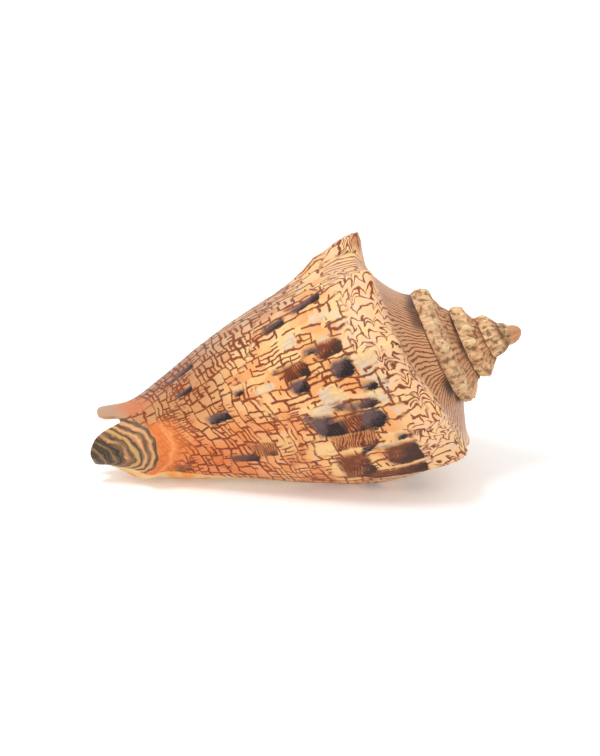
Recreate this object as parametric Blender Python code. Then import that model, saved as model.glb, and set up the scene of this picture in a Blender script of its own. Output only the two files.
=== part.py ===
"""A volute seashell, lying on its aperture with the spire to +X.

The shell is one grown piece, so it is one solid. Its shape is given by a few sections
through the coiling axis. Each section is placed by how many turns it lies back from the
outer lip, and the surface is lofted round the axis through them. The last whorl is a
wall with a real inside, open along the aperture and at the siphonal notch.

Lengths in the tables are millimetres: "along" runs down the coiling axis from the apex
and "out" is the distance from that axis.
"""

import math

import bmesh
import bpy
import numpy as np

MM = 0.001

# How the shell lies.
LIP_TURNED_DEG = -140.1  # the lip's angle round the axis: 0 is up, 90 faces the front
SPIRE_RAISED_DEG = 17.6

# Mesh fineness.
COLUMNS_A_TURN = 54
RAMP_STEPS = 3  # suture to shoulder
CREST_STEPS = 2  # shoulder to the line where the next whorl's suture runs
FLANK_STEPS = (2, 2, 4, 5, 4, 3)  # from there to the front edge
JOIN_STEPS = 1  # steps below the suture that the wall of the next whorl covers
RIM_STEPS = 3
DOME_STEPS = 3
FIRST_FLANK_STEP = 0.26  # share of the first flank stretch

WALL = 2.3
LIP_WALL = 3.0
FRONT_WALL = 1.5
LEAST_CANAL = 0.4  # share of the gap to the columella that stays open

CLOSED_AT = 46 / 54  # turns back from the lip where the canal closes on the columella
APEX_AT = -0.8  # along, where the first whorl's dome ends
FIRST_WHORL_AT = 4.6  # turns back from the lip where the domed first whorl starts

# The suture: turns back from the lip, along, out.
SUTURE = (
    (0.00, 30.7, 22.6),
    (0.35, 26.9, 18.9),
    (0.85, 20.8, 14.2),
    (1.35, 17.6, 11.2),
    (1.85, 14.0, 8.6),
    (2.35, 11.0, 6.8),
    (2.85, 8.2, 5.4),
    (3.35, 5.6, 4.2),
    (3.85, 3.5, 3.0),
    (4.60, 1.8, 2.0),
)

# The shoulder between its knobs.
SHOULDER = (
    (0.00, 44.0, 35.5),
    (0.35, 39.8, 33.3),
    (0.45, 36.2, 32.5),
    (0.56, 33.6, 31.2),
    (0.67, 27.2, 29.8),
    (0.85, 24.8, 27.2),
    (1.00, 25.2, 23.0),
    (1.35, 22.6, 17.0),
    (1.85, 17.2, 12.6),
    (2.35, 14.2, 9.8),
    (2.85, 10.8, 7.9),
    (3.35, 7.8, 5.9),
    (3.85, 5.0, 4.3),
    (4.60, 2.8, 3.0),
)

# The flank: turns back from the lip, then six points from just under the shoulder to the
# groove behind the front edge.
FLANK = (
    (0.00, (50.0, 35.8), (60.0, 33.4), (74.0, 28.6), (90.0, 23.4), (105.0, 18.0), (114.0, 15.6)),
    (0.15, (48.0, 35.2), (58.0, 33.6), (73.0, 29.4), (90.0, 23.2), (105.0, 17.6), (115.0, 14.6)),
    (0.35, (46.0, 33.8), (58.0, 31.6), (74.0, 28.0), (90.0, 22.6), (104.0, 16.6), (115.0, 13.0)),
    (0.45, (43.0, 33.2), (57.0, 31.0), (73.0, 26.8), (88.0, 21.6), (102.0, 15.8), (111.0, 13.0)),
    (0.60, (37.0, 32.2), (56.0, 30.4), (72.0, 25.8), (87.0, 20.4), (102.0, 15.0), (114.0, 12.6)),
    (0.75, (33.5, 31.2), (54.0, 30.2), (71.0, 25.2), (87.0, 19.4), (103.0, 14.6), (117.0, 10.0)),
    (0.85, (32.6, 30.0), (50.0, 30.8), (70.0, 24.8), (87.0, 18.8), (103.0, 14.0), (117.0, 8.8)),
    (0.93, (31.8, 27.2), (49.0, 25.8), (66.0, 19.6), (84.0, 13.4), (101.0, 10.0), (116.0, 6.8)),
    (1.00, (30.7, 22.6), (44.0, 19.8), (60.0, 13.8), (80.0, 8.6), (100.0, 6.4), (116.0, 4.8)),
    (1.35, (26.9, 18.9), (42.0, 16.2), (60.0, 10.8), (80.0, 7.4), (100.0, 5.6), (116.0, 4.4)),
    (1.86, (20.8, 14.2), (40.0, 12.6), (60.0, 9.0), (80.0, 6.8), (100.0, 5.2), (116.0, 4.2)),
)

# The front edge, from the lip's corner past the siphonal notch to the columella's tip.
FRONT_EDGE = (
    (0.00, 116.5, 14.4),
    (0.12, 117.0, 14.4),
    (0.24, 119.0, 14.2),
    (0.31, 122.6, 13.8),
    (0.36, 123.6, 13.6),
    (0.41, 123.2, 13.4),
    (0.435, 121.6, 13.3),
    (0.455, 117.6, 13.2),
    (0.475, 116.8, 13.0),
    (0.485, 117.4, 12.9),
    (0.50, 122.4, 12.7),
    (0.52, 125.4, 12.3),
    (0.575, 128.0, 10.4),
    (0.63, 128.2, 7.0),
    (0.69, 126.2, 4.8),
    (0.76, 127.2, 2.4),
    (0.81, 129.0, 1.0),
    (0.852, 130.0, 0.0),
)

# How far the lip stands back from a straight lip, in turns, by the place along the axis.
LIP_SETBACK = (
    (24.0, 0.015),
    (45.0, 0.0),
    (88.0, 0.0),
    (108.0, 0.035),
    (121.0, 0.085),
    (130.0, 0.085),
)
LIP_SETBACK_REACH = 0.3  # turns over which it fades

# Hollow of the ramp, as a share of its length.
RAMP_HOLLOW = (
    (0.0, 0.12),
    (0.65, 0.11),
    (0.8, 0.02),
    (1.0, 0.03),
    (2.0, 0.03),
    (4.6, 0.0),
)

# Knobs on the shoulder. The largest, on top, is a hooked spine.
SPINE_AT = 18 / 54
KNOBS_A_TURN = 9
KNOB_HEIGHT = (
    (0.00, 3.6),
    (0.222, 4.2),
    (0.333, 7.4),
    (0.444, 4.0),
    (0.60, 3.8),
    (0.90, 2.8),
    (1.35, 1.8),
    (2.35, 1.1),
    (3.20, 0.4),
    (3.60, 0.0),
    (4.60, 0.0),
)
KNOB_HALF_WIDTH = 0.2  # share of the spacing
KNOB_POINTEDNESS = 1.4
KNOB_HOOK = -0.5  # lean toward the spire for each unit of height
KNOB_REACH_UP = 0.1  # share of the shoulder's radius
KNOB_REACH_DOWN = 0.44

# The fasciole, a ridge round the front end from the notch: turns, along, height.
FASCIOLE = (
    (0.47, 117.5, 0.0),
    (0.54, 114.5, 1.5),
    (0.60, 112.6, 1.9),
    (0.64, 111.0, 1.9),
    (0.70, 112.8, 1.7),
    (0.78, 117.5, 1.0),
    (0.852, 122.0, 0.0),
)
FASCIOLE_HALF_WIDTH = 2.8

# Folds on the columella, seen through the aperture.
FOLD_AT = (68.0, 77.0, 86.0, 95.0, 104.0)
FOLD_HEIGHT = 1.1
FOLD_HALF_WIDTH = 2.6
FOLD_LEAN = -9.0  # along, for each turn further in
FOLD_TURNS = ((0.90, 0.0), (0.96, 1.0), (1.80, 1.0), (1.852, 0.0))


def path(places, table):
    """A table's values at these places, on smooth curves that never overshoot its rows."""
    table = np.asarray(table, float)
    knots = table[:, 0]
    values = table[:, 1:]
    step = np.diff(knots)[:, None]
    slope = np.diff(values, axis=0) / step
    before, after = slope[:-1], slope[1:]
    weight_before = 2 * step[1:] + step[:-1]
    weight_after = step[1:] + 2 * step[:-1]
    bends_one_way = before * after > 0
    safe_before = np.where(bends_one_way, before, 1.0)
    safe_after = np.where(bends_one_way, after, 1.0)
    mean = (weight_before + weight_after) / (weight_before / safe_before + weight_after / safe_after)
    tangent = np.concatenate([slope[:1], np.where(bends_one_way, mean, 0.0), slope[-1:]])
    places = np.clip(np.asarray(places, float), knots[0], knots[-1])
    k = np.clip(np.searchsorted(knots, places, side="right") - 1, 0, len(knots) - 2)
    share = ((places - knots[k]) / step[k, 0])[:, None]
    return hermite(values[k], values[k + 1], tangent[k] * step[k], tangent[k + 1] * step[k], share)


def hermite(start, end, leave, arrive, share):
    return (
        start * (1 + 2 * share) * (1 - share) ** 2
        + leave * share * (1 - share) ** 2
        + end * share**2 * (3 - 2 * share)
        + arrive * share**2 * (share - 1)
    )


def control_points(turns):
    """Nine points of the section at each of these turns: suture, shoulder, flank, front edge."""
    flank = [path(turns, [(row[0], *row[1 + k]) for row in FLANK]) for k in range(6)]
    front = path(turns, FRONT_EDGE)
    points = np.stack([path(turns, SUTURE), path(turns, SHOULDER), *flank, front], axis=1)
    covered = turns >= 1
    points[covered, 2] = path(turns[covered] - 1, SUTURE)
    return points


def row_places():
    """Where each row of the mesh lies: which stretch of the section, and its share of it."""
    places = [(0, 0.0)]
    places += [(0, step / RAMP_STEPS) for step in range(1, RAMP_STEPS + 1)]
    places += [(1, step / CREST_STEPS) for step in range(1, CREST_STEPS + 1)]
    for stretch, count in enumerate(FLANK_STEPS):
        for step in range(1, count + 1):
            share = step / count
            if stretch == 0:
                share = FIRST_FLANK_STEP + (1 - FIRST_FLANK_STEP) * (step - 1) / (count - 1)
            places.append((2 + stretch, share))
    return places


def knobs(turns, down):
    """Height of the knobs. Down is the distance below the shoulder, as a share of its radius."""
    phase = (turns - SPINE_AT) * KNOBS_A_TURN
    off = np.abs(phase - np.round(phase)) / KNOB_HALF_WIDTH
    height = path(turns, KNOB_HEIGHT)[:, 0]
    crest = np.exp(-(off**KNOB_POINTEDNESS))
    reach = np.where(down < 0, KNOB_REACH_UP, KNOB_REACH_DOWN)
    return height * crest * np.exp(-((down / reach) ** 2))


def section_row(turns, stretch, share):
    """Along and out of one row, bare and with its relief, at these turns."""
    points = control_points(turns)
    gap = np.linalg.norm(np.diff(points, axis=1), axis=2)[:, :, None]
    slope = np.diff(points, axis=1) / gap
    blend = gap[:, 1:] / (gap[:, 1:] + gap[:, :-1])
    smooth = slope[:, :-1] * blend + slope[:, 1:] * (1 - blend)
    leave = np.concatenate([slope[:, :1], smooth], axis=1)
    arrive = np.concatenate([smooth, slope[:, -1:]], axis=1)
    open_whorl = np.clip((1 - turns) / 0.1, 0, 1)[:, None]
    leave[:, 2] = leave[:, 2] * open_whorl + slope[:, 2] * (1 - open_whorl)
    arrive[:, 1] = arrive[:, 1] * open_whorl + slope[:, 1] * (1 - open_whorl)
    hollow = path(turns, RAMP_HOLLOW) * gap[:, 0] * 4
    ramp_in = np.stack([slope[:, 0, 1], -slope[:, 0, 0]], axis=1) * hollow
    leave[:, 0] += ramp_in / gap[:, 0]
    arrive[:, 0] -= ramp_in / gap[:, 0]
    k = stretch
    bare = hermite(
        points[:, k],
        points[:, k + 1],
        leave[:, k] * gap[:, k],
        arrive[:, k] * gap[:, k],
        share,
    )
    length = np.concatenate([np.zeros((len(turns), 1)), np.cumsum(gap[:, :, 0], axis=1)], axis=1)
    at = length[:, k] + share * gap[:, k, 0]
    radius = points[:, 1, 1]
    down = (at - length[:, 1]) / radius
    if (k, share) == (0, 0.0):
        return bare, bare.copy()
    relief = knobs(turns, down)
    ridge_at, ridge_height = path(turns, FASCIOLE).T
    ridge = ridge_height * np.exp(-(((bare[:, 0] - ridge_at) / FASCIOLE_HALF_WIDTH) ** 2))
    ridge *= (turns < CLOSED_AT) & (k > 2)
    shown = bare.copy()
    if (k, share) == (1, 1.0) or (k, share) == (7, 1.0):
        relief = relief * open_whorl[:, 0]
        ridge = ridge * 0
    shown[:, 0] += relief * KNOB_HOOK * (down < 0.3)
    shown[:, 1] += relief + ridge
    if k > 2:
        inside = path(turns, FOLD_TURNS)[:, 0]
        for fold_at in FOLD_AT:
            off = bare[:, 0] - fold_at - FOLD_LEAN * (turns - 1)
            shown[:, 1] += inside * FOLD_HEIGHT * np.exp(-((off / FOLD_HALF_WIDTH) ** 2))
    return bare, shown


def in_space(turns, along, out):
    """Points of the shell at rest, in millimetres, before it is set on the ground."""
    angle = 2 * math.pi * turns + math.radians(LIP_TURNED_DEG)
    raised = math.radians(SPIRE_RAISED_DEG)
    x = -along
    z = out * np.cos(angle)
    return np.stack(
        [
            x * math.cos(raised) - z * math.sin(raised),
            -out * np.sin(angle),
            x * math.sin(raised) + z * math.cos(raised),
        ],
        axis=-1,
    )


class Shell:
    """Collects the points and faces of the closed surface."""

    def __init__(self):
        self.points = []
        self.faces = []

    def add(self, point):
        self.points.append(point)
        return len(self.points) - 1

    def add_grid(self, grid):
        first = len(self.points)
        self.points.extend(grid.reshape(-1, 3))
        return first + np.arange(grid.shape[0] * grid.shape[1]).reshape(grid.shape[:2])

    def face(self, *corners):
        ring = [c for n, c in enumerate(corners) if c != corners[n - 1]]
        if len(set(ring)) > 2:
            self.faces.append(ring)


def build_shell():
    n = COLUMNS_A_TURN
    last = round(FIRST_WHORL_AT * n)
    close = round(CLOSED_AT * n)
    places = row_places()
    seam = RAMP_STEPS + CREST_STEPS
    front = len(places) - 1
    column = np.arange(last + 1)
    turns = column / n

    bare = np.zeros((last + 1, front + 1, 2))
    shown = np.zeros((last + 1, front + 1, 2))
    row_turns = np.zeros((last + 1, front + 1))
    for j, (stretch, share) in enumerate(places):
        straight, _ = section_row(turns, stretch, share)
        setback = path(straight[:, 0], LIP_SETBACK)[:, 0]
        fade = np.clip(1 - turns / LIP_SETBACK_REACH, 0, 1) ** 2
        row_turns[:, j] = turns + setback * fade
        bare[:, j], shown[:, j] = section_row(row_turns[:, j], stretch, share)
    # The seam under a whorl is that whorl's suture, and the join below it is the wall's.
    row_turns[n:, seam] = row_turns[:-n, 0] + 1
    shown[n:, seam] = shown[:-n, 0]

    shell = Shell()
    outer = shell.add_grid(in_space(row_turns, shown[..., 0], shown[..., 1]))
    outer[n:, seam] = outer[:-n, 0]
    pole = shell.add(in_space(np.array(0.0), np.array(FRONT_EDGE[-1][1]), np.array(0.0)))
    outer[close : close + n + 1, front] = pole

    # The inside of the last whorl's wall.
    tangent = np.gradient(bare[: close + 1], axis=1)
    tangent /= np.linalg.norm(tangent, axis=2)[..., None]
    inward = np.stack([tangent[..., 1], -tangent[..., 0]], axis=-1)
    near_lip = np.clip(1 - turns[: close + 1] / 0.06, 0, 1)[:, None]
    near_front = np.clip((np.arange(front + 1) - front + 8) / 8, 0, 1)[None, :]
    thick = WALL + (LIP_WALL - WALL) * near_lip
    thick = thick + (FRONT_WALL - thick) * near_front
    inner_shape = bare[: close + 1] + inward * thick[..., None]
    for i in range(close + 1):
        core = shown[i + n, seam + JOIN_STEPS :]
        core_out = np.interp(inner_shape[i, :, 0], core[:, 0], core[:, 1])
        gap = np.maximum(bare[i, :, 1] - core_out, 0)
        least = core_out + LEAST_CANAL * gap
        inner_shape[i, :, 1] = np.maximum(inner_shape[i, :, 1], least)
    inner_turns = row_turns[: close + 1]
    inner = shell.add_grid(in_space(inner_turns, inner_shape[..., 0], inner_shape[..., 1]))
    inner[:, 0] = outer[n : n + close + 1, seam + JOIN_STEPS]
    inner[close, front] = pole

    points = np.array(shell.points)

    # Whorls, then the last whorl's flank and the columella inside it.
    for i in range(last):
        for j in range(seam):
            shell.face(outer[i, j], outer[i, j + 1], outer[i + 1, j + 1], outer[i + 1, j])
    for i in range(close + n):
        start = seam + JOIN_STEPS if i >= n else seam
        for j in range(start, front):
            shell.face(outer[i, j], outer[i, j + 1], outer[i + 1, j + 1], outer[i + 1, j])
    for i in range(close):
        for j in range(front):
            shell.face(inner[i, j], inner[i + 1, j], inner[i + 1, j + 1], inner[i, j + 1])

    # The deep end of the cavity, between the wall and the columella.
    wall_side = inner[close]
    core_side = outer[close + n, seam + JOIN_STEPS :]
    close_gap(shell, points, wall_side, core_side)

    # The rounded rim, down the lip and round the front edge.
    edge = [(0, j) for j in range(1, front + 1)] + [(i, front) for i in range(1, close)]
    rings = []
    for i, j in edge:
        outer_point = points[outer[i, j]]
        inner_point = points[inner[i, j]]
        middle = (outer_point + inner_point) / 2
        half = np.linalg.norm(outer_point - inner_point) / 2
        way = np.zeros(3)
        if i == 0:
            way += unit(points[outer[0, j]] - points[outer[1, j]])
        if j == front:
            way += unit(points[outer[i, front]] - points[outer[i, front - 1]])
        way = unit(way)
        ring = [outer[i, j]]
        for step in range(1, RIM_STEPS):
            turn = math.pi * step / RIM_STEPS
            offset = (outer_point - middle) * math.cos(turn) + way * half * math.sin(turn)
            ring.append(shell.add(middle + offset))
        ring.append(inner[i, j])
        rings.append(ring)
    for a, b in zip(rings, rings[1:]):
        for k in range(RIM_STEPS):
            shell.face(a[k], a[k + 1], b[k + 1], b[k])
    join = [outer[n, seam + JOIN_STEPS - k] for k in range(JOIN_STEPS)]
    shell.face(*rings[0], *join, outer[0, 0])
    shell.face(*rings[-1], pole)

    # The domed first whorl.
    loop = [outer[i, 0] for i in range(last - n, last + 1)]
    loop += [outer[last, j] for j in range(1, seam)]
    shapes = [shown[i, 0] for i in range(last - n, last + 1)]
    shapes += [shown[last, j] for j in range(1, seam)]
    angles = [turns[i] for i in range(last - n, last + 1)]
    angles += [turns[last]] * (seam - 1)
    ring = loop
    for step in range(1, DOME_STEPS + 1):
        rise = math.pi / 2 * step / DOME_STEPS
        if step == DOME_STEPS:
            apex = shell.add(in_space(np.array(0.0), np.array(APEX_AT), np.array(0.0)))
            upper = [apex] * len(loop)
        else:
            upper = [
                shell.add(
                    in_space(
                        np.array(angle),
                        np.array(shape[0] - (shape[0] - APEX_AT) * math.sin(rise)),
                        np.array(shape[1] * math.cos(rise)),
                    )
                )
                for angle, shape in zip(angles, shapes)
            ]
        for k in range(len(loop)):
            after = (k + 1) % len(loop)
            shell.face(ring[k], ring[after], upper[after], upper[k])
        ring = upper
    return shell


def unit(vector):
    return vector / np.linalg.norm(vector)


def close_gap(shell, points, one, other):
    """Triangles between two lines of corners that share both their ends."""
    one_at = spacing(points[one])
    other_at = spacing(points[other])
    a = b = 0
    while a < len(one) - 1 or b < len(other) - 1:
        step_one = b == len(other) - 1 or (a < len(one) - 1 and one_at[a + 1] <= other_at[b + 1])
        if step_one:
            shell.face(one[a], one[a + 1], other[b])
            a += 1
        else:
            shell.face(one[a], other[b + 1], other[b])
            b += 1


def spacing(line):
    length = np.concatenate([[0], np.cumsum(np.linalg.norm(np.diff(line, axis=0), axis=1))])
    return length / length[-1]


def main():
    for obj in list(bpy.data.objects):
        bpy.data.objects.remove(obj)
    collection = bpy.data.collections.new("volute_shell")
    bpy.context.scene.collection.children.link(collection)

    shell = build_shell()
    points = np.array(shell.points)
    used = sorted({corner for face in shell.faces for corner in face})
    place = {old: new for new, old in enumerate(used)}
    points = points[used]
    low, high = points.min(axis=0), points.max(axis=0)
    points -= [(low[0] + high[0]) / 2, (low[1] + high[1]) / 2, low[2]]

    mesh = bpy.data.meshes.new("shell")
    faces = [[place[corner] for corner in face] for face in shell.faces]
    mesh.from_pydata([tuple(p * MM) for p in points], [], faces)
    body = bmesh.new()
    body.from_mesh(mesh)
    bmesh.ops.triangulate(body, faces=body.faces)
    bmesh.ops.recalc_face_normals(body, faces=body.faces)
    body.to_mesh(mesh)
    body.free()
    mesh.shade_smooth()

    material = bpy.data.materials.new("cream_shell")
    material.use_nodes = True
    surface = material.node_tree.nodes["Principled BSDF"]
    surface.inputs["Base Color"].default_value = (0.80, 0.62, 0.40, 1)
    surface.inputs["Roughness"].default_value = 0.3
    mesh.materials.append(material)
    obj = bpy.data.objects.new("shell", mesh)
    collection.objects.link(obj)
    print(len(mesh.polygons), "triangles", points.max(axis=0) - points.min(axis=0))


main()
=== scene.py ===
# %% [markdown]
# A volute seashell in Blender
# The shell is one grown piece. A snail adds to the lip a little at a time, so the shape is one
# section swept round an axis while it grows. This lesson builds it the same way: first the
# sections, then a sheet of them, then a node tree that winds the sheet into a shell.

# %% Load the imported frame
import math
import random

import bmesh
import bpy
import numpy as np
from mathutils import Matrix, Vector


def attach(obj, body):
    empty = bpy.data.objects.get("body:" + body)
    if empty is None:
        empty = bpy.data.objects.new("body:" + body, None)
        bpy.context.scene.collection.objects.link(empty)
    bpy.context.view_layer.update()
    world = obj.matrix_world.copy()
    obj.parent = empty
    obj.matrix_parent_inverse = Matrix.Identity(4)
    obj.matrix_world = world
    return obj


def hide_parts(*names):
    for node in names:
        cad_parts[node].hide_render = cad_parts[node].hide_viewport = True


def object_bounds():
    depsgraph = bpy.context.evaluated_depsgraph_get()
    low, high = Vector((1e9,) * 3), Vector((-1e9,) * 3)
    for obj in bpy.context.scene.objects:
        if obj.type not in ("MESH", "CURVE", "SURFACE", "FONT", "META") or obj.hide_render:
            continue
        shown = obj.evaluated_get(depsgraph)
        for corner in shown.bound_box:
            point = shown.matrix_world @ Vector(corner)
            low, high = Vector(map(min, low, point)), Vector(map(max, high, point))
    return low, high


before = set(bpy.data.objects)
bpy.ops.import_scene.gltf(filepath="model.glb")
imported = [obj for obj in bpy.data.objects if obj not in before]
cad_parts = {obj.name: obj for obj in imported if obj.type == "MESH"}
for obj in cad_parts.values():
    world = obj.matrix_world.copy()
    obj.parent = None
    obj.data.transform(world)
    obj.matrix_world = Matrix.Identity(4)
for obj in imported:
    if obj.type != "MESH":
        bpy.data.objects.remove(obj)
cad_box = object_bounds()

MM = 0.001
print("frame nodes:", list(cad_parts))

# %% [markdown]
# The sections
# Every place on the shell is named by two things: how many turns it lies back from the lip,
# and how far down the section it is. The tables hold the section at a few turns only, as
# (along the axis from the apex, out from the axis) in millimetres.

# %% How the shell lies, and how fine the mesh is
LIP_TURNED_DEG = -140.1
SPIRE_RAISED_DEG = 17.6

COLUMNS_A_TURN = 270
RAMP_STEPS = 12
CREST_STEPS = 5
FLANK_STEPS = (8, 8, 13, 15, 14, 10)
JOIN_STEPS = 3
JOIN_SHARE = 0.26  # of the first flank stretch, covered by the next whorl's wall
RIM_STEPS = 7
DOME_STEPS = 10

WALL = 2.3
LIP_WALL = 3.0
FRONT_WALL = 1.5
LEAST_CANAL = 0.4

CLOSED_AT = 46 / 54
FIRST_WHORL_AT = 4.6
APEX_AT = -0.8

# %% The sections' tables
SUTURE = (
    (0.00, 30.7, 22.6),
    (0.35, 26.9, 18.9),
    (0.85, 20.8, 14.2),
    (1.35, 17.6, 11.2),
    (1.85, 14.0, 8.6),
    (2.35, 11.0, 6.8),
    (2.85, 8.2, 5.4),
    (3.35, 5.6, 4.2),
    (3.85, 3.5, 3.0),
    (4.60, 1.8, 2.0),
)
SHOULDER = (
    (0.00, 44.0, 35.5),
    (0.35, 39.8, 33.3),
    (0.45, 36.2, 32.5),
    (0.56, 33.6, 31.2),
    (0.67, 27.2, 29.8),
    (0.85, 24.8, 27.2),
    (1.00, 25.2, 23.0),
    (1.35, 22.6, 17.0),
    (1.85, 17.2, 12.6),
    (2.35, 14.2, 9.8),
    (2.85, 10.8, 7.9),
    (3.35, 7.8, 5.9),
    (3.85, 5.0, 4.3),
    (4.60, 2.8, 3.0),
)
FLANK = (
    (0.00, (50.0, 35.8), (60.0, 33.4), (74.0, 28.6), (90.0, 23.4), (105.0, 18.0), (114.0, 15.6)),
    (0.15, (48.0, 35.2), (58.0, 33.6), (73.0, 29.4), (90.0, 23.2), (105.0, 17.6), (115.0, 14.6)),
    (0.35, (46.0, 33.8), (58.0, 31.6), (74.0, 28.0), (90.0, 22.6), (104.0, 16.6), (115.0, 13.0)),
    (0.45, (43.0, 33.2), (57.0, 31.0), (73.0, 26.8), (88.0, 21.6), (102.0, 15.8), (111.0, 13.0)),
    (0.60, (37.0, 32.2), (56.0, 30.4), (72.0, 25.8), (87.0, 20.4), (102.0, 15.0), (114.0, 12.6)),
    (0.75, (33.5, 31.2), (54.0, 30.2), (71.0, 25.2), (87.0, 19.4), (103.0, 14.6), (117.0, 10.0)),
    (0.85, (32.6, 30.0), (50.0, 30.8), (70.0, 24.8), (87.0, 18.8), (103.0, 14.0), (117.0, 8.8)),
    (0.93, (31.8, 27.2), (49.0, 25.8), (66.0, 19.6), (84.0, 13.4), (101.0, 10.0), (116.0, 6.8)),
    (1.00, (30.7, 22.6), (44.0, 19.8), (60.0, 13.8), (80.0, 8.6), (100.0, 6.4), (116.0, 4.8)),
    (1.35, (26.9, 18.9), (42.0, 16.2), (60.0, 10.8), (80.0, 7.4), (100.0, 5.6), (116.0, 4.4)),
    (1.86, (20.8, 14.2), (40.0, 12.6), (60.0, 9.0), (80.0, 6.8), (100.0, 5.2), (116.0, 4.2)),
)
FRONT_EDGE = (
    (0.00, 116.5, 14.4),
    (0.12, 117.0, 14.4),
    (0.24, 119.0, 14.2),
    (0.31, 122.6, 13.8),
    (0.36, 123.6, 13.6),
    (0.41, 123.2, 13.4),
    (0.435, 121.6, 13.3),
    (0.455, 117.6, 13.2),
    (0.475, 116.8, 13.0),
    (0.485, 117.4, 12.9),
    (0.50, 122.4, 12.7),
    (0.52, 125.4, 12.3),
    (0.575, 128.0, 10.4),
    (0.63, 128.2, 7.0),
    (0.69, 126.2, 4.8),
    (0.76, 127.2, 2.4),
    (0.81, 129.0, 1.0),
    (0.852, 130.0, 0.0),
)
LIP_SETBACK = (
    (24.0, 0.015),
    (45.0, 0.0),
    (88.0, 0.0),
    (108.0, 0.035),
    (121.0, 0.085),
    (130.0, 0.085),
)
LIP_SETBACK_REACH = 0.3
RAMP_HOLLOW = (
    (0.0, 0.12),
    (0.65, 0.11),
    (0.8, 0.02),
    (1.0, 0.03),
    (2.0, 0.03),
    (4.6, 0.0),
)

# %% The relief's tables: knobs, fasciole and folds
SPINE_AT = 18 / 54
KNOBS_A_TURN = 9
KNOB_HEIGHT = (
    (0.00, 3.6),
    (0.222, 4.2),
    (0.333, 7.4),
    (0.444, 4.0),
    (0.60, 3.8),
    (0.90, 2.8),
    (1.35, 1.8),
    (2.35, 1.1),
    (3.20, 0.4),
    (3.60, 0.0),
    (4.60, 0.0),
)
KNOB_HALF_WIDTH = 0.2
KNOB_POINTEDNESS = 1.4
KNOB_HOOK = -0.5
KNOB_REACH_UP = 0.1
KNOB_REACH_DOWN = 0.44
HOOK_REACH = 0.3  # the knobs lean only this far below the shoulder
JOIN_TURNS = 0.1  # turns before a full one over which the next whorl takes hold
HOLLOW_PULL = 4

FASCIOLE = (
    (0.47, 117.5, 0.0),
    (0.54, 114.5, 1.5),
    (0.60, 112.6, 1.9),
    (0.64, 111.0, 1.9),
    (0.70, 112.8, 1.7),
    (0.78, 117.5, 1.0),
    (0.852, 122.0, 0.0),
)
FASCIOLE_HALF_WIDTH = 2.8

FOLD_AT = (68.0, 77.0, 86.0, 95.0, 104.0)
FOLD_HEIGHT = 1.1
FOLD_HALF_WIDTH = 2.6
FOLD_LEAN = -9.0
FOLD_TURNS = ((0.90, 0.0), (0.96, 1.0), (1.80, 1.0), (1.852, 0.0))
print(KNOBS_A_TURN, "knobs a turn, and", len(FOLD_AT), "folds")


# %% Smooth curves through a table
def hermite(start, end, leave, arrive, share):
    return (
        start * (1 + 2 * share) * (1 - share) ** 2
        + leave * share * (1 - share) ** 2
        + end * share**2 * (3 - 2 * share)
        + arrive * share**2 * (share - 1)
    )


def path(places, table):
    """A table's values at these places, on smooth curves that never overshoot its rows."""
    table = np.asarray(table, float)
    knots = table[:, 0]
    values = table[:, 1:]
    step = np.diff(knots)[:, None]
    slope = np.diff(values, axis=0) / step
    before, after = slope[:-1], slope[1:]
    weight_before = 2 * step[1:] + step[:-1]
    weight_after = step[1:] + 2 * step[:-1]
    bends_one_way = before * after > 0
    safe_before = np.where(bends_one_way, before, 1.0)
    safe_after = np.where(bends_one_way, after, 1.0)
    mean = (weight_before + weight_after) / (weight_before / safe_before + weight_after / safe_after)
    tangent = np.concatenate([slope[:1], np.where(bends_one_way, mean, 0.0), slope[-1:]])
    places = np.clip(np.asarray(places, float), knots[0], knots[-1])
    k = np.clip(np.searchsorted(knots, places, side="right") - 1, 0, len(knots) - 2)
    share = ((places - knots[k]) / step[k, 0])[:, None]
    return hermite(values[k], values[k + 1], tangent[k] * step[k], tangent[k + 1] * step[k], share)


def control_points(turns):
    """Nine points of the section at each of these turns: suture, shoulder, flank, front edge."""
    flank = [path(turns, [(row[0], *row[1 + k]) for row in FLANK]) for k in range(6)]
    front = path(turns, FRONT_EDGE)
    points = np.stack([path(turns, SUTURE), path(turns, SHOULDER), *flank, front], axis=1)
    covered = turns >= 1
    points[covered, 2] = path(turns[covered] - 1, SUTURE)
    return points


# %% Where each row of the mesh lies on a section
def row_places():
    places = [(0, 0.0)]
    places += [(0, step / RAMP_STEPS) for step in range(1, RAMP_STEPS + 1)]
    places += [(1, step / CREST_STEPS) for step in range(1, CREST_STEPS + 1)]
    for stretch, count in enumerate(FLANK_STEPS):
        for step in range(1, count + 1):
            share = step / count
            if stretch == 0 and step <= JOIN_STEPS:
                share = JOIN_SHARE * step / JOIN_STEPS
            elif stretch == 0:
                share = JOIN_SHARE + (1 - JOIN_SHARE) * (step - JOIN_STEPS) / (count - JOIN_STEPS)
            places.append((2 + stretch, share))
    return places


def knobs(turns, down):
    """Height of the knobs. Down is the distance below the shoulder, as a share of its radius."""
    phase = (turns - SPINE_AT) * KNOBS_A_TURN
    off = np.abs(phase - np.round(phase)) / KNOB_HALF_WIDTH
    height = path(turns, KNOB_HEIGHT)[:, 0]
    crest = np.exp(-(off**KNOB_POINTEDNESS))
    reach = np.where(down < 0, KNOB_REACH_UP, KNOB_REACH_DOWN)
    return height * crest * np.exp(-((down / reach) ** 2))


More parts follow.
